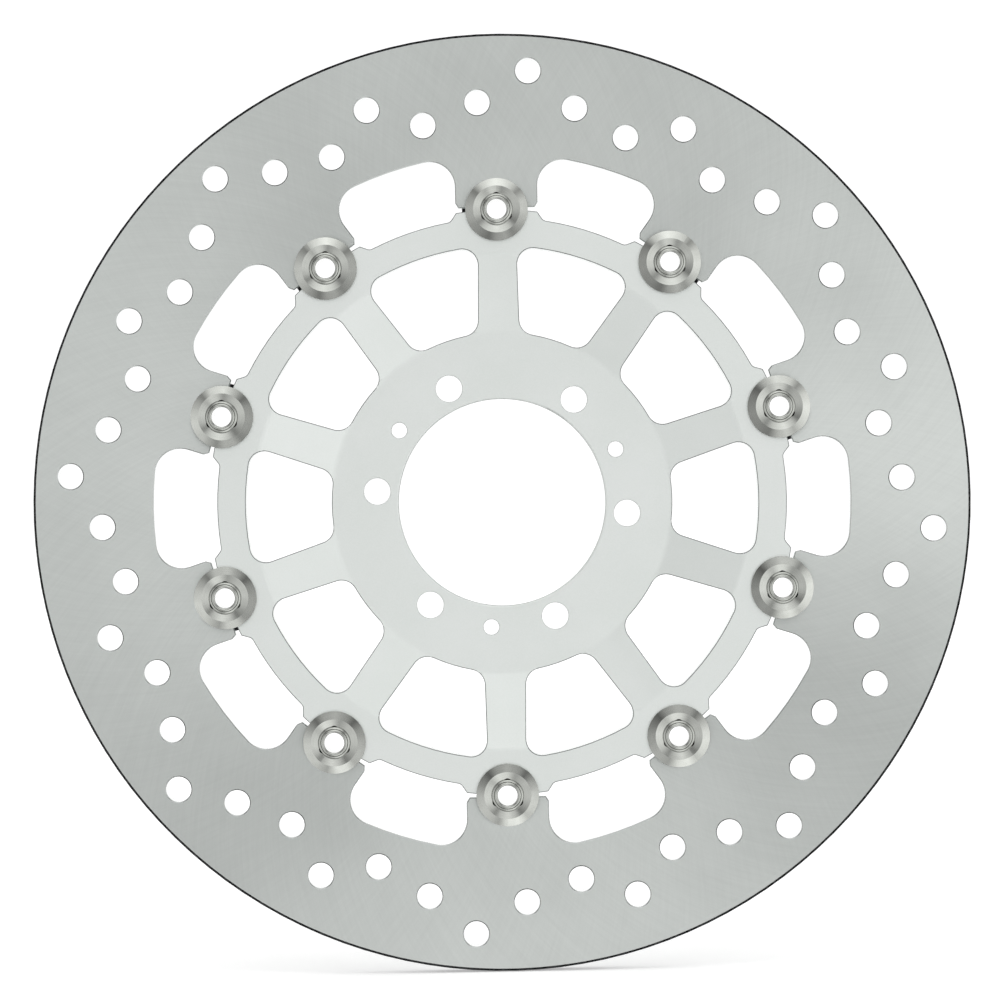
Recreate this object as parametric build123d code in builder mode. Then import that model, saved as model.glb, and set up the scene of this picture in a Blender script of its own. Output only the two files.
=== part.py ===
from build123d import *
from math import cos, radians, sin, sqrt, tan
import os

# Floating brake disc for a motorcycle wheel: a drilled steel friction ring hung on a dished
# aluminium carrier by ten rivet-like drive buttons, each with its own cap and washers.
# The wheel axis is Y. The carrier bolts against the wheel hub at y = 0, and every height below
# is measured from there towards the outboard face, which looks along -Y. +Z is up.

# Friction ring
disc_diameter = 296.0
disc_thickness = 7.0
rim_chamfer = 0.5
edge_break = 0.3              # chamfer on the other machined edges
lug_width = 26.0
lug_length = 17.6             # from the button circle out to the scalloped inner edge
lug_root_fillet = 8.0
lug_tip_gap = 0.6             # how far short of the button circle a lug ends
lug_tip_bevel_along = 1.6     # bevel of a lug's two corners, along the lug and across it
lug_tip_bevel_across = 1.0
lug_root_depth = 2.0          # a lug's sides run this far into the ring before its root fillets

# Drilled holes of the friction ring: a mirrored group of six, repeated round the ring
vent_hole_diameter = 8.0
vent_groups = 8
vent_phase = 18.0             # angle of the first group's middle hole
vent_edge_margin = 11.5       # from the pad track's edges to the nearest hole centres
vent_group = [                # angle from the middle hole, share of the way across the track
    (-15.5, 0.33),
    (-7.2, 0.0),
    (0.0, 0.63),
    (7.2, 0.0),
    (15.5, 0.33),
    (22.5, 1.0),
]

# Drive buttons
button_count = 10
button_circle_diameter = 184.8
button_phase = 18.0           # puts one button at the top
flange_diameter = 19.7
shank_diameter = 15.0
neck_diameter = 9.2
button_bore_diameter = 6.3
flange_thickness = 1.6
cap_thickness = 2.0
cap_rim_thickness = 0.65
cap_cone_width = 2.45         # outer cone of the cap, measured across its face
cap_dish_depth = 0.5
cap_seat_margin = 0.2         # flat left round the rolled lip in the dished middle
lip_overlap = 0.4             # how far the rolled lip reaches over the cap
lip_height = 0.95             # its crest, above the cap's dished middle
lip_bead_size = 0.65          # quarter-round bead at the lip's outer edge
lip_groove_drop = 0.15        # groove between the bead and the crest
lip_groove_width = 0.1
lip_mouth_height = 0.6        # where the crest meets the bore
relief_reach = 0.8            # three small reliefs in the cap's bore, out from the neck
relief_radius = 1.35
relief_count = 3
shim_thickness = 0.5
shim_inset = 0.15             # its edge stays this far inside the flange
spring_thickness = 0.4
spring_height = 0.9
spring_play = 0.05            # loose fit over the shank, beyond the shim's own
spring_rim_inset = 0.25       # the spring's plain edge stays this far inside the flange
spring_tab_reach = 1.15       # its tabs stand this far out past the flange
spring_tab_width = 7.2
spring_tab_corner = 1.0
spring_tab_count = 3
spring_turns = [30, 36, 92, 84, 27, 96, 60, 0, 62, 118]  # angles at which the springs settled

# Carrier
hub_bore_diameter = 66.0
hub_flange_thickness = 6.0
hub_flange_width = 21.3       # from the bore out to where the spokes start
bolt_circle_diameter = 80.0
bolt_count = 6
bolt_hole_diameter = 8.5
bolt_phase = 54.0
small_hole_count = 3
small_hole_diameter = 5.0
small_hole_phase = 24.0
disc_offset = 13.0            # hub face to the middle of the friction ring
ring_width = 9.0              # carrier's outer ring, between the buttons
ring_inset = 2.5              # from the button circle in to the carrier's plain outer edge
ear_top_gap = 0.55            # how far short of the button circle an ear ends
ear_top_width = 25.2
ear_side_slope = 34.0         # degrees from the button's own radius
ear_foot_fillet = 2.0
ear_corner_fillet = 0.8
spoke_root_width = 13.35
spoke_rim_width = 12.15
spoke_root_overlap = 2.0      # the taper starts this far inside the hub flange
spoke_depth = 6.4             # along the wheel axis
window_corner = 5.0
dish_shoulder = 2.6           # flat face left between the slope and the windows' outer edge
dish_fillet = 4.0
bore_chamfer = 0.6

# Clearances
axial_float = 0.25            # the carrier is thicker than the ring by this on each face
button_end_play = 0.05
lug_play = 0.3                # round the button's shank
ear_play = 0.05
washer_play = 0.15
cap_play = 0.05
spring_end_play = 0.02

same_size = 0.01              # sizes this close are taken as equal when edges are picked out

# Radii and heights that follow from these
disc_radius = disc_diameter / 2
button_radius = button_circle_diameter / 2
shank_radius = shank_diameter / 2
flange_radius = flange_diameter / 2
neck_radius = neck_diameter / 2
button_bore_radius = button_bore_diameter / 2
scallop_radius = button_radius + lug_length
vent_inner_radius = scallop_radius + vent_edge_margin
vent_outer_radius = disc_radius - vent_edge_margin
hub_bore_radius = hub_bore_diameter / 2
hub_flange_radius = hub_bore_radius + hub_flange_width
ring_outer_radius = button_radius - ring_inset
window_outer_radius = ring_outer_radius - ring_width
slope_end_radius = window_outer_radius - dish_shoulder
disc_back = disc_offset - disc_thickness / 2
ring_thickness = disc_thickness + 2 * axial_float
ring_back = disc_offset - ring_thickness / 2
ring_front = ring_back + ring_thickness
shim_front = ring_back - button_end_play
shim_back = shim_front - shim_thickness
flange_front = shim_back - spring_height
flange_back = flange_front - flange_thickness
cap_back = ring_front + button_end_play
cap_front = cap_back + cap_thickness
cap_dish = cap_front - cap_dish_depth


def at_height(height):
    """A sketch plane across the wheel axis: its x is +X, its y is +Z, and it faces outboard."""
    return Plane.XZ.offset(height)


def from_wheel_axis(vertex):
    return sqrt(vertex.X**2 + vertex.Y**2)


def button_plane(index, height=0.0):
    """Across one button, with x pointing away from the wheel axis."""
    angle = radians(button_phase + index * 360 / button_count)
    outward = (cos(angle), 0, sin(angle))
    centre = (button_radius * outward[0], -height, button_radius * outward[2])
    return Plane(origin=centre, x_dir=outward, z_dir=(0, -1, 0))


def button_section(index):
    """Through one button's axis: x is the radius from that axis and y is the height."""
    across = button_plane(index)
    return Plane(origin=across.origin, x_dir=across.x_dir, z_dir=across.y_dir * -1)


def button_axis(index):
    return Axis(button_plane(index).origin, (0, -1, 0))


# Friction ring
with BuildSketch() as lug:
    tip = button_radius + lug_tip_gap
    root = scallop_radius + lug_root_depth
    side = lug_width / 2
    with BuildLine():
        Polyline(
            (root, side),
            (tip + lug_tip_bevel_along, side),
            (tip, side - lug_tip_bevel_across),
            (tip, lug_tip_bevel_across - side),
            (tip + lug_tip_bevel_along, -side),
            (root, -side),
            close=True,
        )
    make_face()

with BuildSketch() as ring_outline:
    Circle(disc_radius)
    Circle(scallop_radius, mode=Mode.SUBTRACT)
    with PolarLocations(0, button_count, start_angle=button_phase):
        add(lug.sketch)
    roots = [v for v in ring_outline.vertices() if abs(from_wheel_axis(v) - scallop_radius) < same_size]
    fillet(roots, lug_root_fillet)
    with PolarLocations(button_radius, button_count, start_angle=button_phase):
        Circle(shank_radius + lug_play, mode=Mode.SUBTRACT)
    for turn, share in vent_group:
        vent_radius = vent_inner_radius + share * (vent_outer_radius - vent_inner_radius)
        with PolarLocations(vent_radius, vent_groups, start_angle=vent_phase + turn):
            Circle(vent_hole_diameter / 2, mode=Mode.SUBTRACT)

with BuildPart() as rotor_ring:
    with BuildSketch(at_height(disc_back)):
        add(ring_outline.sketch)
    extrude(amount=disc_thickness)
    faces = rotor_ring.faces().filter_by(Axis.Y).sort_by(SortBy.AREA)[-2:]
    rims = [edge for face in faces for edge in face.outer_wire().edges()]
    inner_edges = [edge for face in faces for wire in face.inner_wires() for edge in wire.edges()]
    chamfer(rims, rim_chamfer)
    chamfer(inner_edges, edge_break)
rotor_ring.part.label = "rotor_ring"


# Carrier: a dished section turned round the wheel axis, then cut to its outline and pierced
slope = (ring_front - hub_flange_thickness) / (slope_end_radius - hub_flange_radius)
back_foot_radius = hub_flange_radius + (spoke_depth - hub_flange_thickness) / slope
back_head_radius = hub_flange_radius + (ring_back + spoke_depth - hub_flange_thickness) / slope

with BuildSketch() as ear:
    ear_top = button_radius - ear_top_gap
    ear_root = ring_outer_radius - ring_width / 2
    spread = (ear_top - ear_root) * tan(radians(ear_side_slope))
    half_top = ear_top_width / 2
    with BuildLine():
        Polyline(
            (ear_top, half_top),
            (ear_top, -half_top),
            (ear_root, -half_top - spread),
            (ear_root, half_top + spread),
            close=True,
        )
    make_face()

with BuildSketch() as carrier_outline:
    Circle(ring_outer_radius)
    with PolarLocations(0, button_count, start_angle=button_phase):
        add(ear.sketch)
    outline = carrier_outline.vertices()
    fillet([v for v in outline if abs(from_wheel_axis(v) - ring_outer_radius) < same_size], ear_foot_fillet)
    outline = carrier_outline.vertices()
    fillet([v for v in outline if from_wheel_axis(v) > button_radius], ear_corner_fillet)
    with PolarLocations(button_radius, button_count, start_angle=button_phase):
        Circle(shank_radius + ear_play, mode=Mode.SUBTRACT)

with BuildSketch() as spoke:
    foot = hub_flange_radius - spoke_root_overlap
    with BuildLine():
        Polyline(
            (foot, spoke_root_width / 2),
            (window_outer_radius, spoke_rim_width / 2),
            (button_radius, spoke_rim_width / 2),
            (button_radius, -spoke_rim_width / 2),
            (window_outer_radius, -spoke_rim_width / 2),
            (foot, -spoke_root_width / 2),
            close=True,
        )
    make_face()

with BuildSketch() as windows:
    Circle(window_outer_radius)
    Circle(hub_flange_radius, mode=Mode.SUBTRACT)
    with PolarLocations(0, button_count, start_angle=button_phase):
        add(spoke.sketch, mode=Mode.SUBTRACT)
    fillet(windows.vertices(), window_corner)

with BuildPart() as carrier:
    with BuildSketch(Plane.XY) as section:
        with BuildLine():
            Polyline(
                (hub_bore_radius, 0),
                (back_foot_radius, 0),
                (back_head_radius, -ring_back),
                (button_radius, -ring_back),
                (button_radius, -ring_front),
                (slope_end_radius, -ring_front),
                (hub_flange_radius, -hub_flange_thickness),
                (hub_bore_radius, -hub_flange_thickness),
                close=True,
            )
        make_face()
        corners = section.vertices()
        bends = [v for v in corners if hub_bore_radius + same_size < v.X < button_radius - same_size]
        fillet(bends, dish_fillet)
    revolve(axis=Axis.Y)
    with BuildSketch(at_height(0)):
        add(carrier_outline.sketch)
    extrude(amount=ring_front, mode=Mode.INTERSECT)
    with BuildSketch(at_height(0)):
        add(windows.sketch)
    extrude(amount=ring_front, mode=Mode.SUBTRACT)
    with BuildSketch(at_height(0)):
        with PolarLocations(bolt_circle_diameter / 2, bolt_count, start_angle=bolt_phase):
            Circle(bolt_hole_diameter / 2)
        with PolarLocations(bolt_circle_diameter / 2, small_hole_count, start_angle=small_hole_phase):
            Circle(small_hole_diameter / 2)
    extrude(amount=ring_front, mode=Mode.SUBTRACT)
    flats = carrier.faces().filter_by(Axis.Y)
    hub_faces = flats.filter_by_position(Axis.Y, -hub_flange_thickness - same_size, same_size)
    circles = [edge for face in hub_faces for edge in face.edges().filter_by(GeomType.CIRCLE)]
    bores = [edge for edge in circles if abs(edge.radius - hub_bore_radius) < same_size]
    drilled = [edge for edge in circles if edge.radius < bolt_hole_diameter / 2 + same_size]
    chamfer(bores, bore_chamfer)
    chamfer(drilled, edge_break)
carrier.part.label = "carrier"


def make_bobbin(index):
    """Flanged sleeve: its shank carries the ring's drive load and its lip is rolled over the cap."""
    lip_edge = neck_radius + lip_overlap
    bead = (lip_edge - lip_bead_size, cap_dish + lip_bead_size)
    groove = (bead[0] - lip_groove_width, bead[1] - lip_groove_drop)
    crest = ((button_bore_radius + groove[0]) / 2, cap_dish + lip_height)
    mouth = (button_bore_radius, cap_dish + lip_mouth_height)
    with BuildPart() as bobbin:
        with BuildSketch(button_section(index)):
            with BuildLine():
                Polyline(
                    mouth,
                    (button_bore_radius, flange_back + bore_chamfer),
                    (button_bore_radius + bore_chamfer, flange_back),
                    (flange_radius - edge_break, flange_back),
                    (flange_radius, flange_back + edge_break),
                    (flange_radius, flange_front - edge_break),
                    (flange_radius - edge_break, flange_front),
                    (shank_radius, flange_front),
                    (shank_radius, cap_back),
                    (neck_radius, cap_back),
                    (neck_radius, cap_dish),
                    (lip_edge, cap_dish),
                )
                TangentArc((lip_edge, cap_dish), bead, tangent=(0, 1))
                Line(bead, groove)
                ThreePointArc(groove, crest, mouth)
            make_face()
        revolve(axis=button_axis(index))
    return bobbin.part


def make_cap(index):
    """Turned cap in front of ring and carrier: a conical outer face round a dished middle."""
    bore = neck_radius + cap_play
    seat = neck_radius + lip_overlap + cap_seat_margin
    cone = flange_radius - cap_cone_width
    with BuildPart() as cap:
        with BuildSketch(button_section(index)):
            with BuildLine():
                Polyline(
                    (bore, cap_back),
                    (flange_radius - edge_break, cap_back),
                    (flange_radius, cap_back + edge_break),
                    (flange_radius, cap_back + cap_rim_thickness),
                    (cone, cap_front),
                    (seat, cap_dish),
                    (bore, cap_dish),
                    close=True,
                )
            make_face()
        revolve(axis=button_axis(index))
        with BuildSketch(button_plane(index, cap_back)):
            first = 90 - (button_phase + index * 360 / button_count)
            reach = neck_radius + relief_reach - relief_radius
            with PolarLocations(reach, relief_count, start_angle=first):
                Circle(relief_radius)
        extrude(amount=cap_thickness, mode=Mode.SUBTRACT)
    return cap.part


def make_shim(index):
    """Flat washer that the ring and the carrier's ears bear on."""
    with BuildPart() as shim:
        with BuildSketch(button_plane(index, shim_back)):
            Circle(flange_radius - shim_inset)
            Circle(shank_radius + washer_play, mode=Mode.SUBTRACT)
        extrude(amount=shim_thickness)
    return shim.part


def make_spring(index):
    """Dished spring washer with three tabs, which holds the button tight against the carrier."""
    inner = shank_radius + washer_play + spring_play
    outer = flange_radius + spring_tab_reach
    plain_edge = flange_radius - spring_rim_inset
    head = shim_back - spring_end_play
    drop = spring_height - spring_thickness - 2 * spring_end_play
    fall = drop / (flange_radius - inner)
    with BuildPart() as spring:
        with BuildSketch(button_section(index)):
            with BuildLine():
                Polyline(
                    (inner, head),
                    (outer, head - fall * (outer - inner)),
                    (outer, head - fall * (outer - inner) - spring_thickness),
                    (inner, head - spring_thickness),
                    close=True,
                )
            make_face()
        revolve(axis=button_axis(index))
        with BuildSketch(button_plane(index, flange_back)):
            Circle(plain_edge)
            with PolarLocations(plain_edge, spring_tab_count, start_angle=spring_turns[index]):
                RectangleRounded(2 * (outer - plain_edge), spring_tab_width, spring_tab_corner)
        extrude(amount=cap_front - flange_back, mode=Mode.INTERSECT)
    return spring.part


pieces = {"rotor_ring": rotor_ring.part, "carrier": carrier.part}
for index in range(button_count):
    number = f"{index + 1:02d}"
    pieces["bobbin_" + number] = make_bobbin(index)
    pieces["cap_" + number] = make_cap(index)
    pieces["spring_washer_" + number] = make_spring(index)
    pieces["shim_washer_" + number] = make_shim(index)

os.makedirs("parts", exist_ok=True)
for name, piece in pieces.items():
    piece.label = name
    export_step(piece, f"parts/{name}.step")
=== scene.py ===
import math

import bmesh
import bpy
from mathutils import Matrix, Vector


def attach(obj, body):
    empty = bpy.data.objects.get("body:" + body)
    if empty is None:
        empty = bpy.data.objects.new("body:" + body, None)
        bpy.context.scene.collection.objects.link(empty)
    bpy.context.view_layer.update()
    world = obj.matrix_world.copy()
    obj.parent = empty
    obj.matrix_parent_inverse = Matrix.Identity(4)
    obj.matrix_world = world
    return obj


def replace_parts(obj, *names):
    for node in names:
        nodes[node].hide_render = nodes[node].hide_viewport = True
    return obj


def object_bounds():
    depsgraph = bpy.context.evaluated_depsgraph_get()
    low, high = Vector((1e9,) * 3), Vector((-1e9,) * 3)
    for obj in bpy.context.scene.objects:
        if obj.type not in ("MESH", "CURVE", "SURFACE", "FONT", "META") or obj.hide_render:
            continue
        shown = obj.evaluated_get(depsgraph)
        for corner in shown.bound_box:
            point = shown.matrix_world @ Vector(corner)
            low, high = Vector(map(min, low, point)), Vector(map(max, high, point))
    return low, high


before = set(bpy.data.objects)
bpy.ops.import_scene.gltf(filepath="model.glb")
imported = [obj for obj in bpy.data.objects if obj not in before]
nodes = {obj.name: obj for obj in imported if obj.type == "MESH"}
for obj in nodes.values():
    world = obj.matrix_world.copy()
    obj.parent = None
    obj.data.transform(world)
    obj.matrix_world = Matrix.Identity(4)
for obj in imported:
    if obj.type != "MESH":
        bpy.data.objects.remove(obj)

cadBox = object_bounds()
mm = 0.001
scene = bpy.context.scene
print("frame loaded:", len(nodes), "nodes")

# Share of a surface's normal that runs along the wheel's axis: the faces have nearly all, the walls little
axisShare = {
    "face": 0.98,      # more than this is a face
    "wall": 0.3,       # less than this is the wall of a hole, slot or rim
    "front": -0.5,     # below this it looks outboard
}


def linearColour(hexCode):
    # sRGB hex to the linear values that the sockets take
    channels = [int(hexCode[i:i + 2], 16) / 255 for i in (1, 3, 5)]
    return [c / 12.92 if c <= 0.04045 else ((c + 0.055) / 1.055) ** 2.4 for c in channels] + [1.0]


def addNode(tree, kind, settings=None, links=None):
    # settings: attributes or input values; links: input socket -> the output that feeds it
    # in a Mix node 0 is the factor, 2 and 3 are the numbers, 6 and 7 the colours, and a colour leaves by 2
    node = tree.nodes.new(kind)
    for key, value in (settings or {}).items():
        if isinstance(key, str) and hasattr(node, key):
            setattr(node, key, value)
        else:
            node.inputs[key].default_value = value
    for key, output in (links or {}).items():
        tree.links.new(output, node.inputs[key])
    return node


def newMaterial(name):
    material = bpy.data.materials.new(name)
    material.use_nodes = True
    material.node_tree.nodes.clear()
    return material, material.node_tree


def addFacing(tree, coord):
    # which way the surface faces: its normal, how much of that is along the axis, and 1 on the walls
    normal = addNode(tree, "ShaderNodeSeparateXYZ", {}, {0: coord.outputs["Normal"]})
    square = addNode(tree, "ShaderNodeMath", {"operation": "ABSOLUTE"}, {0: normal.outputs["Y"]})
    isWall = addNode(tree, "ShaderNodeMath", {"operation": "LESS_THAN", 1: axisShare["wall"]},
                     {0: square.outputs[0]})
    return normal, square, isWall


# Friction ring: martensitic stainless, faces ground by a cup wheel whose arcs cross each other, laser-cut rim
frictionRing = {
    "faceColour": "#E0E4E1",
    "faceShade": "#D1D5D2",        # between the passes of the wheel
    "cutColour": "#E6E8E7",        # drilled and milled walls, left bright by the cutter
    "cutRoughness": 0.2,
    "edgeColour": "#B2B5B3",       # broken edges, darker than the faces: a thin grey line along every edge
    "rimColour": "#0B0C0D",        # near black on the rim and the outermost band of each face, a dark outline round the disc
    "rimShade": "#4C4D4F",         # ridges that the beam left, straight across the rim
    "rimRidge": 0.7 * mm,          # from one ridge to the next
    "rimRidgeLength": 12 * mm,
    "rimRadius": 147.2 * mm,       # everything outside this is coloured as rim, the outermost band of the faces too
    "middleRadius": 130 * mm,      # where the streaks have their true width
    "streakWidth": 1.3 * mm,       # real grit lines are 0.05 mm; this coarse they show
    "streakLength": 16 * mm,
    "streakLean": (22, -38),       # degrees that the two sets of arcs lean from the radius
    "streakDepth": 0.004 * mm,
    "streakRange": (0.72, 1.28),   # of both sets added up, from dull to bright
    "streakShare": 0.3,            # against the cloudiness
    "cloudSize": 45 * mm,
    "toneRange": (0.3, 0.95),      # of streaks and clouds together, from shade to colour
    "ridgeRange": (0.4, 0.75),     # of the ridges, from black to their own shade
    "roughness": (0.46, 0.52),
    "stretch": 0.9,                # how far the grinding draws the highlight out
}


def makeGroundStainless():
    # ground stainless: grey, its highlight drawn out round the disc, crossed by fine arcs
    material, tree = newMaterial("groundStainlessSteel")
    ring = frictionRing
    coord = addNode(tree, "ShaderNodeTexCoord")
    flat = addNode(tree, "ShaderNodeVectorMath", {"operation": "MULTIPLY", 1: (1, 0, 1)},
                   {0: coord.outputs["Object"]})
    radius = addNode(tree, "ShaderNodeVectorMath", {"operation": "LENGTH"}, {0: flat.outputs[0]})
    parts = addNode(tree, "ShaderNodeSeparateXYZ", {}, {0: flat.outputs[0]})
    turn = addNode(tree, "ShaderNodeMath", {"operation": "ARCTAN2"},
                   {0: parts.outputs["Z"], 1: parts.outputs["X"]})

    # two sets of arcs, each laid out on a cylinder so that a streak has no seam as it goes round
    streaksRound = ring["middleRadius"] / ring["streakWidth"]
    streaks = []
    for lean in ring["streakLean"]:
        swirl = math.tan(math.radians(lean)) / ring["middleRadius"]
        angle = addNode(tree, "ShaderNodeMath", {"operation": "MULTIPLY_ADD", 1: swirl},
                        {0: radius.outputs["Value"], 2: turn.outputs[0]})
        cosine = addNode(tree, "ShaderNodeMath", {"operation": "COSINE"}, {0: angle.outputs[0]})
        sine = addNode(tree, "ShaderNodeMath", {"operation": "SINE"}, {0: angle.outputs[0]})
        place = addNode(tree, "ShaderNodeCombineXYZ", {},
                        {0: cosine.outputs[0], 1: sine.outputs[0], 2: radius.outputs["Value"]})
        scaled = addNode(tree, "ShaderNodeVectorMath",
                         {"operation": "MULTIPLY", 1: (streaksRound, streaksRound, 1 / ring["streakLength"])},
                         {0: place.outputs[0]})
        streaks.append(addNode(tree, "ShaderNodeTexNoise", {"Scale": 1.0, "Detail": 4.0, "Roughness": 0.62},
                               {"Vector": scaled.outputs[0]}))
    crossed = addNode(tree, "ShaderNodeMath", {"operation": "ADD"},
                      {0: streaks[0].outputs["Fac"], 1: streaks[1].outputs["Fac"]})
    low, high = ring["streakRange"]
    streak = addNode(tree, "ShaderNodeMapRange", {"From Min": low, "From Max": high}, {0: crossed.outputs[0]})
    cloud = addNode(tree, "ShaderNodeTexNoise", {"Scale": 1 / ring["cloudSize"], "Detail": 3.0},
                    {"Vector": coord.outputs["Object"]})
    mixed = addNode(tree, "ShaderNodeMath", {"operation": "MULTIPLY_ADD", 1: ring["streakShare"]},
                    {0: streak.outputs[0], 2: cloud.outputs["Fac"]})
    low, high = ring["toneRange"]
    tone = addNode(tree, "ShaderNodeMapRange", {"From Min": low, "From Max": high}, {0: mixed.outputs[0]})
    face = addNode(tree, "ShaderNodeMix",
                   {"data_type": "RGBA", 6: linearColour(ring["faceShade"]),
                    7: linearColour(ring["faceColour"])},
                   {0: tone.outputs[0]})

    # faces, cut walls and the broken edges between them
    square, isWall = addFacing(tree, coord)[1:]
    isFace = addNode(tree, "ShaderNodeMath", {"operation": "GREATER_THAN", 1: axisShare["face"]},
                     {0: square.outputs[0]})
    edges = addNode(tree, "ShaderNodeMix",
                    {"data_type": "RGBA", 6: linearColour(ring["edgeColour"]),
                     7: linearColour(ring["cutColour"])},
                    {0: isWall.outputs[0]})
    inside = addNode(tree, "ShaderNodeMix", {"data_type": "RGBA"},
                     {0: isFace.outputs[0], 6: edges.outputs[2], 7: face.outputs[2]})

    # the rim, with the beam's ridges across it
    isRim = addNode(tree, "ShaderNodeMath", {"operation": "GREATER_THAN", 1: ring["rimRadius"]},
                    {0: radius.outputs["Value"]})
    ridgeScale = (1 / ring["rimRidge"], 1 / ring["rimRidgeLength"], 1 / ring["rimRidge"])
    ridgePlace = addNode(tree, "ShaderNodeVectorMath", {"operation": "MULTIPLY", 1: ridgeScale},
                         {0: coord.outputs["Object"]})
    ridges = addNode(tree, "ShaderNodeTexNoise", {"Scale": 1.0, "Detail": 3.0},
                     {"Vector": ridgePlace.outputs[0]})
    low, high = ring["ridgeRange"]
    ridgeTone = addNode(tree, "ShaderNodeMapRange", {"From Min": low, "From Max": high},
                        {0: ridges.outputs["Fac"]})
    rim = addNode(tree, "ShaderNodeMix",
                  {"data_type": "RGBA", 6: linearColour(ring["rimColour"]),
                   7: linearColour(ring["rimShade"])},
                  {0: ridgeTone.outputs[0]})
    colour = addNode(tree, "ShaderNodeMix", {"data_type": "RGBA"},
                     {0: isRim.outputs[0], 6: inside.outputs[2], 7: rim.outputs[2]})

    low, high = ring["roughness"]
    faceRough = addNode(tree, "ShaderNodeMapRange", {"To Min": low, "To Max": high},
                        {0: streaks[0].outputs["Fac"]})
    rough = addNode(tree, "ShaderNodeMix", {"data_type": "FLOAT", 2: ring["cutRoughness"]},
                    {0: isFace.outputs[0], 3: faceRough.outputs[0]})
    bump = addNode(tree, "ShaderNodeBump", {"Strength": 1.0, "Distance": ring["streakDepth"]},
                   {"Height": crossed.outputs[0]})
    around = addNode(tree, "ShaderNodeTangent", {"direction_type": "RADIAL", "axis": "Y"})
    shader = addNode(tree, "ShaderNodeBsdfPrincipled", {"Metallic": 1.0, "Anisotropic": ring["stretch"]},
                     {"Base Color": colour.outputs[2], "Roughness": rough.outputs[0],
                      "Normal": bump.outputs[0], "Tangent": around.outputs[0]})
    addNode(tree, "ShaderNodeOutputMaterial", {}, {0: shader.outputs[0]})
    return material


# Carrier: aluminium plate, bead-blasted and clear anodised, edges broken by tumbling
carrierLook = {
    "colour": "#F3F6F4",
    "shade": "#EDF1EE",
    "roughness": (0.58, 0.66),
    "wallRoughness": 0.22,         # milled walls, smoother than the blasted faces
    "edgeColour": "#868A89",       # painted shade: the broken edges dark grey, for the thin dark line round every edge
    "edgeShade": "#727675",
    "edgeRoughness": (0.3, 0.4),
    "grain": 0.45 * mm,            # beads leave 0.1 mm dimples; this coarse they show
    "grainDepth": 0.012 * mm,
    "grainShare": 0.5,             # against the cloudiness
    "cloudSize": 28 * mm,
    "toneRange": (0.5, 1.0),       # of grain and clouds together, from shade to colour
}


def makeBlastedAluminium(name, colour, shade, roughness):
    # bead-blasted aluminium: pale and soft, with a very fine dimpled grain and no direction
    material, tree = newMaterial(name)
    look = carrierLook
    coord = addNode(tree, "ShaderNodeTexCoord")
    grain = addNode(tree, "ShaderNodeTexNoise", {"Scale": 1 / look["grain"], "Detail": 2.0},
                    {"Vector": coord.outputs["Object"]})
    cloud = addNode(tree, "ShaderNodeTexNoise", {"Scale": 1 / look["cloudSize"], "Detail": 4.0},
                    {"Vector": coord.outputs["Object"]})
    mixed = addNode(tree, "ShaderNodeMath", {"operation": "MULTIPLY_ADD", 1: look["grainShare"]},
                    {0: grain.outputs["Fac"], 2: cloud.outputs["Fac"]})
    low, high = look["toneRange"]
    tone = addNode(tree, "ShaderNodeMapRange", {"From Min": low, "From Max": high}, {0: mixed.outputs[0]})
    blend = addNode(tree, "ShaderNodeMix",
                    {"data_type": "RGBA", 6: linearColour(shade), 7: linearColour(colour)},
                    {0: tone.outputs[0]})
    isWall = addFacing(tree, coord)[2]
    faceRough = addNode(tree, "ShaderNodeMapRange", {"To Min": roughness[0], "To Max": roughness[1]},
                        {0: cloud.outputs["Fac"]})
    rough = addNode(tree, "ShaderNodeMix", {"data_type": "FLOAT", 3: look["wallRoughness"]},
                    {0: isWall.outputs[0], 2: faceRough.outputs[0]})
    bump = addNode(tree, "ShaderNodeBump", {"Strength": 1.0, "Distance": look["grainDepth"]},
                   {"Height": grain.outputs["Fac"]})
    shader = addNode(tree, "ShaderNodeBsdfPrincipled", {"Metallic": 1.0},
                     {"Base Color": blend.outputs[2], "Roughness": rough.outputs[0],
                      "Normal": bump.outputs[0]})
    addNode(tree, "ShaderNodeOutputMaterial", {}, {0: shader.outputs[0]})
    return material


# Drive buttons: turned stainless, bright, with the lathe's fine rings
buttonLook = {
    "across": 19.7 * mm,
    "colour": "#B9BBB6",
    "shade": "#AEB0AB",
    "boreColour": "#F0F1EF",       # burnished by the press tool
    "paintedReliefShade": "#161616",      # painted shade: near black down in the reliefs and on the sleeve's shoulder seen through them
    "bore": 3.6 * mm,              # the sleeve's walls inside this radius are its bore
    "capRecess": 6.5 * mm,         # the cap's walls inside this radius are its reliefs
    "lipEdge": 5.1 * mm,           # the sleeve's front outside this radius is its shoulder
    "ringPitch": 0.32 * mm,        # real feed is 0.08 mm; this coarse it shows
    "ringDepth": 0.004 * mm,
    "ringShare": 0.6,              # against the wear
    "wearSize": 3 * mm,
    "toneRange": (0.5, 1.1),       # of rings and wear together, from shade to colour
    "roughness": (0.12, 0.16),
    "stretch": 0.5,
    "stretchTurn": 0.25,           # a quarter turn: the highlights lie across the rings
}


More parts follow.
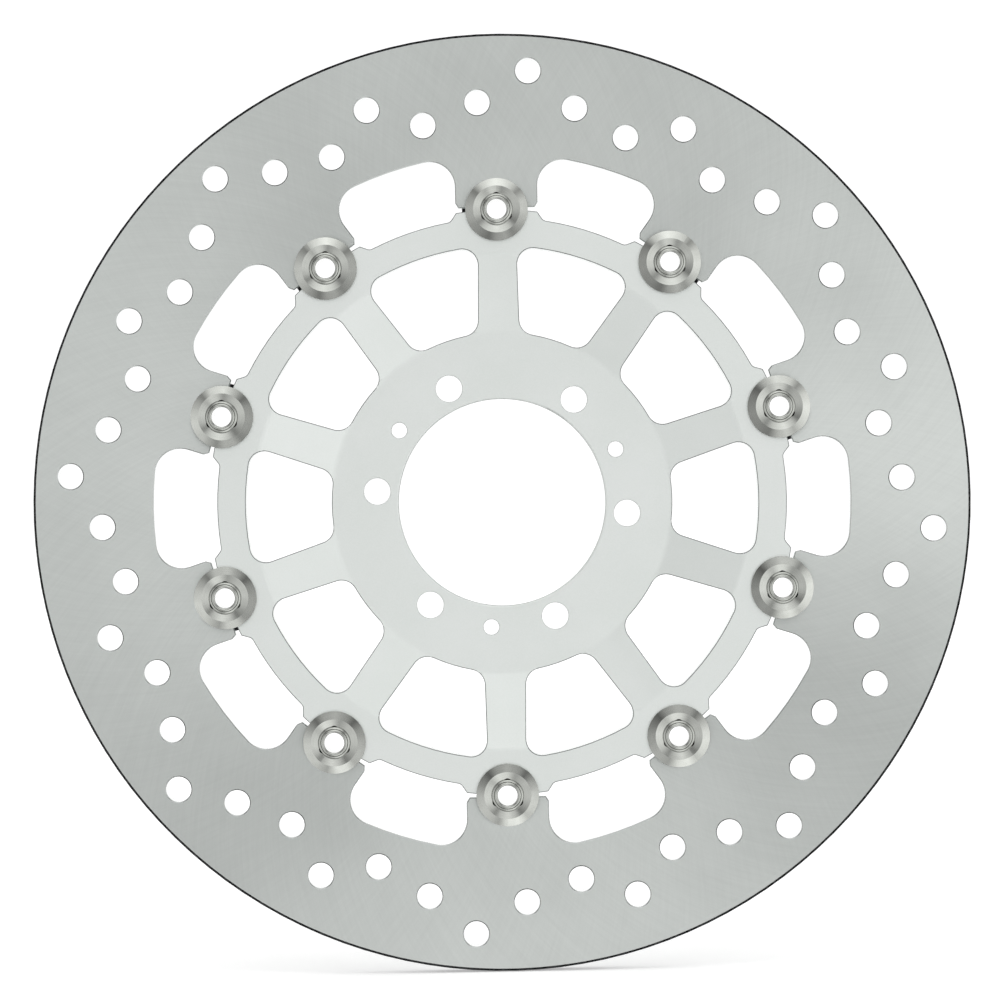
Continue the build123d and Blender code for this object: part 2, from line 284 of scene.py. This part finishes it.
def makeTurnedStainless(name, isCap):
    # turned stainless: bright, its highlights fanned across the lathe rings, with painted shade in the cap's
    # reliefs and on the sleeve's shoulder
    material, tree = newMaterial(name)
    look = buttonLook
    coord = addNode(tree, "ShaderNodeTexCoord")
    centred = addNode(tree, "ShaderNodeVectorMath", {"operation": "SUBTRACT", 1: (0.5, 0.5, 0.5)},
                      {0: coord.outputs["Generated"]})
    flat = addNode(tree, "ShaderNodeVectorMath",
                   {"operation": "MULTIPLY", 1: (look["across"], 0, look["across"])}, {0: centred.outputs[0]})
    radius = addNode(tree, "ShaderNodeVectorMath", {"operation": "LENGTH"}, {0: flat.outputs[0]})
    drop = addNode(tree, "ShaderNodeSeparateXYZ", {}, {0: coord.outputs["Object"]})
    ringPlace = addNode(tree, "ShaderNodeCombineXYZ", {}, {0: radius.outputs["Value"], 1: drop.outputs["Y"]})
    rings = addNode(tree, "ShaderNodeTexNoise",
                    {"Scale": 1 / look["ringPitch"], "Detail": 3.0, "Roughness": 0.7},
                    {"Vector": ringPlace.outputs[0]})
    wear = addNode(tree, "ShaderNodeTexNoise", {"Scale": 1 / look["wearSize"], "Detail": 3.0},
                   {"Vector": coord.outputs["Object"]})
    mixed = addNode(tree, "ShaderNodeMath", {"operation": "MULTIPLY_ADD", 1: look["ringShare"]},
                    {0: rings.outputs["Fac"], 2: wear.outputs["Fac"]})
    low, high = look["toneRange"]
    tone = addNode(tree, "ShaderNodeMapRange", {"From Min": low, "From Max": high}, {0: mixed.outputs[0]})
    blend = addNode(tree, "ShaderNodeMix",
                    {"data_type": "RGBA", 6: linearColour(look["shade"]), 7: linearColour(look["colour"])},
                    {0: tone.outputs[0]})

    # the sleeve's bore is bright, and the cap's three reliefs get painted shade, near black
    innerRadius = look["capRecess"] if isCap else look["bore"]
    boreColourOrReliefShade = look["paintedReliefShade"] if isCap else look["boreColour"]
    normal, square, isWall = addFacing(tree, coord)
    isInner = addNode(tree, "ShaderNodeMath", {"operation": "LESS_THAN", 1: innerRadius},
                      {0: radius.outputs["Value"]})
    inner = addNode(tree, "ShaderNodeMath", {"operation": "MULTIPLY"},
                    {0: isWall.outputs[0], 1: isInner.outputs[0]})
    colour = addNode(tree, "ShaderNodeMix", {"data_type": "RGBA", 7: linearColour(boreColourOrReliefShade)},
                     {0: inner.outputs[0], 6: blend.outputs[2]})
    if not isCap:
        # painted shade on the sleeve's shoulder, seen only down the cap's reliefs
        isFront = addNode(tree, "ShaderNodeMath", {"operation": "LESS_THAN", 1: axisShare["front"]},
                          {0: normal.outputs["Y"]})
        isOutside = addNode(tree, "ShaderNodeMath", {"operation": "GREATER_THAN", 1: look["lipEdge"]},
                            {0: radius.outputs["Value"]})
        shoulder = addNode(tree, "ShaderNodeMath", {"operation": "MULTIPLY"},
                           {0: isFront.outputs[0], 1: isOutside.outputs[0]})
        colour = addNode(tree, "ShaderNodeMix", {"data_type": "RGBA", 7: linearColour(look["paintedReliefShade"])},
                         {0: shoulder.outputs[0], 6: colour.outputs[2]})

    low, high = look["roughness"]
    rough = addNode(tree, "ShaderNodeMapRange", {"To Min": low, "To Max": high}, {0: rings.outputs["Fac"]})
    bump = addNode(tree, "ShaderNodeBump", {"Strength": 1.0, "Distance": look["ringDepth"]},
                   {"Height": rings.outputs["Fac"]})
    around = addNode(tree, "ShaderNodeTangent", {"direction_type": "RADIAL", "axis": "Y"})
    shader = addNode(tree, "ShaderNodeBsdfPrincipled",
                     {"Metallic": 1.0, "Anisotropic": look["stretch"],
                      "Anisotropic Rotation": look["stretchTurn"]},
                     {"Base Color": colour.outputs[2], "Roughness": rough.outputs[0],
                      "Normal": bump.outputs[0], "Tangent": around.outputs[0]})
    addNode(tree, "ShaderNodeOutputMaterial", {}, {0: shader.outputs[0]})
    return material


# Washers: blackened spring steel and plain rolled strip
springLook = {
    "colour": "#222224",
    "rubbed": "#4B4B4D",           # where it has worn against ring and carrier
    "mottle": 1.6 * mm,
    "roughness": 0.42,
}
shimLook = {
    "colour": "#B9BBBB",
    "rubbed": "#9EA0A0",
    "mottle": 0.9 * mm,
    "roughness": 0.3,
}
stripSurface = {
    "rubbedRange": (0.5, 0.75),    # how much of the strip is rubbed
    "depth": 0.01 * mm,
    "strength": 0.4,
}


def makeStrip(name, look):
    # rolled strip: mottled, and rubbed in places
    material, tree = newMaterial(name)
    coord = addNode(tree, "ShaderNodeTexCoord")
    mottle = addNode(tree, "ShaderNodeTexNoise",
                     {"Scale": 1 / look["mottle"], "Detail": 4.0, "Roughness": 0.6},
                     {"Vector": coord.outputs["Object"]})
    low, high = stripSurface["rubbedRange"]
    tone = addNode(tree, "ShaderNodeMapRange", {"From Min": low, "From Max": high},
                   {0: mottle.outputs["Fac"]})
    blend = addNode(tree, "ShaderNodeMix",
                    {"data_type": "RGBA", 6: linearColour(look["colour"]), 7: linearColour(look["rubbed"])},
                    {0: tone.outputs[0]})
    bump = addNode(tree, "ShaderNodeBump",
                   {"Strength": stripSurface["strength"], "Distance": stripSurface["depth"]},
                   {"Height": mottle.outputs["Fac"]})
    shader = addNode(tree, "ShaderNodeBsdfPrincipled", {"Metallic": 1.0, "Roughness": look["roughness"]},
                     {"Base Color": blend.outputs[2], "Normal": bump.outputs[0]})
    addNode(tree, "ShaderNodeOutputMaterial", {}, {0: shader.outputs[0]})
    return material


blastedAluminium = makeBlastedAluminium("blastedAluminium", carrierLook["colour"], carrierLook["shade"],
                                        carrierLook["roughness"])
# painted shade: the carrier's broken edges get the same blasted finish in dark grey
paintedShadeEdge = makeBlastedAluminium("aluminiumEdgePaintedShade", carrierLook["edgeColour"],
                                   carrierLook["edgeShade"], carrierLook["edgeRoughness"])
finishes = {
    "rotor_ring": makeGroundStainless(),
    "carrier": blastedAluminium,
    "bobbin": makeTurnedStainless("turnedStainlessSleeve", False),
    "cap": makeTurnedStainless("turnedStainlessCap", True),
    "spring_washer": makeStrip("blackenedSpringSteel", springLook),
    "shim_washer": makeStrip("rolledShimSteel", shimLook),
}
for name, node in nodes.items():
    kind = name.rstrip("0123456789").rstrip("_")
    node.data.materials.clear()
    node.data.materials.append(finishes[kind])
print("materials assigned")

# Carrier's edges, and how its mesh is made ready for them
carrierEdges = {
    "width": 0.25 * mm,
    "sharperThan": 60,             # degrees: every corner sharper than this is broken
    "profile": 0.55,               # a little fuller than round
    "steps": 2,
    "weld": 0.03 * mm,             # corners closer than this are made one first
    "flatWithin": 0.5,             # degrees between the triangles that are joined to one face first
    "smoothBelow": 50,             # degrees
    "faceWeight": 90,              # how far the big faces win over the narrow edges in the shading
}


def makeCarrier():
    # the carrier's plate with its sharp edges broken all round
    edges = carrierEdges
    mesh = bmesh.new()
    mesh.from_mesh(nodes["carrier"].data)
    bmesh.ops.remove_doubles(mesh, verts=mesh.verts, dist=edges["weld"])
    bmesh.ops.dissolve_limit(mesh, angle_limit=math.radians(edges["flatWithin"]),
                             verts=mesh.verts, edges=mesh.edges)
    leastAngle = math.radians(edges["sharperThan"])
    sharp = [edge for edge in mesh.edges if edge.calc_face_angle(0) > leastAngle]
    bmesh.ops.bevel(mesh, geom=sharp, offset=edges["width"], offset_type="OFFSET", segments=edges["steps"],
                    profile=edges["profile"], affect="EDGES", clamp_overlap=False,
                    material=1)                    # the new edges take the second finish, the dark grey painted shade
    for corner in mesh.verts:
        corner.co.y = min(corner.co.y, cadBox[1].y)    # the hub face stays exactly where it bolts on
    data = bpy.data.meshes.new("carrierPlate")
    mesh.to_mesh(data)
    mesh.free()
    piece = bpy.data.objects.new("carrierPlate", data)
    scene.collection.objects.link(piece)
    data.materials.append(blastedAluminium)
    data.materials.append(paintedShadeEdge)
    data.shade_smooth()
    data.set_sharp_from_angle(angle=math.radians(edges["smoothBelow"]))
    steady = piece.modifiers.new("flatFacesStayFlat", "WEIGHTED_NORMAL")
    steady.mode = "FACE_AREA"
    steady.weight = edges["faceWeight"]
    steady.keep_sharp = True
    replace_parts(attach(piece, "carrier"), "carrier")
    return piece


carrierPlate = makeCarrier()
print("carrier:", len(carrierPlate.data.polygons), "faces")

# Camera: square on to the disc and far back, as for a catalogue
cameraSetup = {
    "distance": 1016 * mm,
    "aside": -0.65 * mm,
    "above": 0.72 * mm,
    "lens": 114.0,
    "sensor": 36.0,
    "roll": 1.1,                   # degrees
}


def placeCamera():
    lens = bpy.data.cameras.new("productCamera")
    lens.lens = cameraSetup["lens"]
    lens.sensor_width = cameraSetup["sensor"]
    camera = bpy.data.objects.new("productCamera", lens)
    scene.collection.objects.link(camera)
    camera.location = (cameraSetup["aside"], -cameraSetup["distance"], cameraSetup["above"])
    camera.rotation_euler = (math.radians(90), math.radians(cameraSetup["roll"]), 0)
    scene.camera = camera


placeCamera()
print("camera placed")

# Floor: white painted board that lies just under the disc
floorLook = {
    "size": 30.0,                  # metres, so that no end shows
    "gap": 0.2 * mm,
    "colour": "#F4F4F4",
    "roughness": 0.85,
    "glow": 0.36,                  # the light that a tent sends up through a white floor
}


def layFloor():
    bpy.ops.mesh.primitive_plane_add(size=floorLook["size"], location=(0, 0, cadBox[0].z - floorLook["gap"]))
    floor = bpy.context.object
    floor.name = "studioFloor"
    floor.visible_glossy = False       # the tent's lower cloth is what the metal mirrors
    material, tree = newMaterial("whitePaintedFloor")
    shader = addNode(tree, "ShaderNodeBsdfPrincipled",
                     {"Base Color": linearColour(floorLook["colour"]), "Roughness": floorLook["roughness"],
                      "Emission Color": (1, 1, 1, 1), "Emission Strength": floorLook["glow"]})
    addNode(tree, "ShaderNodeOutputMaterial", {}, {0: shader.outputs[0]})
    floor.data.materials.append(material)


layFloor()
print("floor laid")

# Light: a white tent round the disc, with the lens looking in through its front
tentLight = {
    "background": 1.1,             # what the camera itself sees behind the disc
    # degrees away from the lens, brightness: opening, front cloth, seam, side cloths, frame, back cloth
    "outward": ((0, 0.2), (4, 0.3), (9, 1.0), (14, 1.1), (20, 0.95), (30, 1.25), (40, 1.15), (48, 0.5),
                (54, 0.45), (62, 1.5), (76, 1.4), (86, 1.05), (96, 0.95), (110, 0.75), (150, 0.6),
                (163, 1.1), (180, 1.1)),
    # degrees round the lens from the right-hand side, share of that brightness: four cloths, their seams
    "round": ((0, 1.2), (25, 0.95), (45, 0.4), (60, 0.95), (90, 1.4), (118, 0.95), (135, 0.3), (150, 0.55),
              (170, 0.8), (190, 0.95), (225, 0.85), (240, 0.7), (252, 0.55), (270, 1.15), (290, 1.3),
              (308, 0.8), (325, 1.05), (345, 1.2), (360, 1.2)),
    "seamsStart": (1.0, 6.0),      # degrees over which the seams come in round the opening
    "seamsEnd": (106.0, 84.0),     # degrees where they are gone and where they are still full
    "brightest": 2.0,              # the profiles are drawn to this height
}


def addProfile(tree, degrees, stops):
    # brightness against an angle in degrees, straight between the stops
    span = stops[-1][0]
    top = tentLight["brightest"]
    share = addNode(tree, "ShaderNodeMath", {"operation": "DIVIDE", 1: span}, {0: degrees})
    curve = addNode(tree, "ShaderNodeFloatCurve", {}, {"Value": share.outputs[0]})
    line = curve.mapping.curves[0]
    line.points[0].location = (0, stops[0][1] / top)
    line.points[1].location = (1, stops[-1][1] / top)
    for angle, level in stops[1:-1]:
        line.points.new(angle / span, level / top)
    for point in line.points:
        point.handle_type = "VECTOR"
    curve.mapping.update()
    return addNode(tree, "ShaderNodeMath", {"operation": "MULTIPLY", 1: top}, {0: curve.outputs[0]})


def hangTent():
    world = bpy.data.worlds.new("studioWorld")
    scene.world = world
    world.use_nodes = True
    tree = world.node_tree
    tree.nodes.clear()
    path = addNode(tree, "ShaderNodeLightPath")
    coord = addNode(tree, "ShaderNodeTexCoord")
    direction = addNode(tree, "ShaderNodeSeparateXYZ", {}, {0: coord.outputs["Generated"]})

    # the angle away from the lens, and the angle round it from 0 to 360
    toLens = addNode(tree, "ShaderNodeMath", {"operation": "MULTIPLY", 1: -1.0}, {0: direction.outputs["Y"]})
    outward = addNode(tree, "ShaderNodeMath", {"operation": "ARCCOSINE"}, {0: toLens.outputs[0]})
    outwardDegrees = addNode(tree, "ShaderNodeMath", {"operation": "DEGREES"}, {0: outward.outputs[0]})
    turn = addNode(tree, "ShaderNodeMath", {"operation": "ARCTAN2"},
                   {0: direction.outputs["Z"], 1: direction.outputs["X"]})
    turnDegrees = addNode(tree, "ShaderNodeMath", {"operation": "DEGREES"}, {0: turn.outputs[0]})
    roundDegrees = addNode(tree, "ShaderNodeMath", {"operation": "WRAP", 1: 360.0, 2: 0.0},
                           {0: turnDegrees.outputs[0]})

    cloth = addProfile(tree, outwardDegrees.outputs[0], tentLight["outward"])
    seams = addProfile(tree, roundDegrees.outputs[0], tentLight["round"])
    low, high = tentLight["seamsStart"]
    started = addNode(tree, "ShaderNodeMapRange", {"From Min": low, "From Max": high},
                      {0: outwardDegrees.outputs[0]})
    gone, full = tentLight["seamsEnd"]
    notEnded = addNode(tree, "ShaderNodeMapRange", {"From Min": gone, "From Max": full},
                       {0: outwardDegrees.outputs[0]})
    seamPart = addNode(tree, "ShaderNodeMath", {"operation": "MULTIPLY"},
                       {0: started.outputs[0], 1: notEnded.outputs[0]})
    seamShare = addNode(tree, "ShaderNodeMix", {"data_type": "FLOAT", 2: 1.0},
                        {0: seamPart.outputs[0], 3: seams.outputs[0]})
    tent = addNode(tree, "ShaderNodeMath", {"operation": "MULTIPLY"},
                   {0: cloth.outputs[0], 1: seamShare.outputs[0]})

    room = addNode(tree, "ShaderNodeBackground", {"Color": (1, 1, 1, 1)}, {"Strength": tent.outputs[0]})
    white = addNode(tree, "ShaderNodeBackground",
                    {"Color": (1, 1, 1, 1), "Strength": tentLight["background"]})
    seen = addNode(tree, "ShaderNodeMixShader", {},
                   {0: path.outputs["Is Camera Ray"], 1: room.outputs[0], 2: white.outputs[0]})
    addNode(tree, "ShaderNodeOutputWorld", {}, {0: seen.outputs[0]})


hangTent()
scene.view_settings.view_transform = "Standard"
scene.view_settings.look = "None"
print("tent hung")
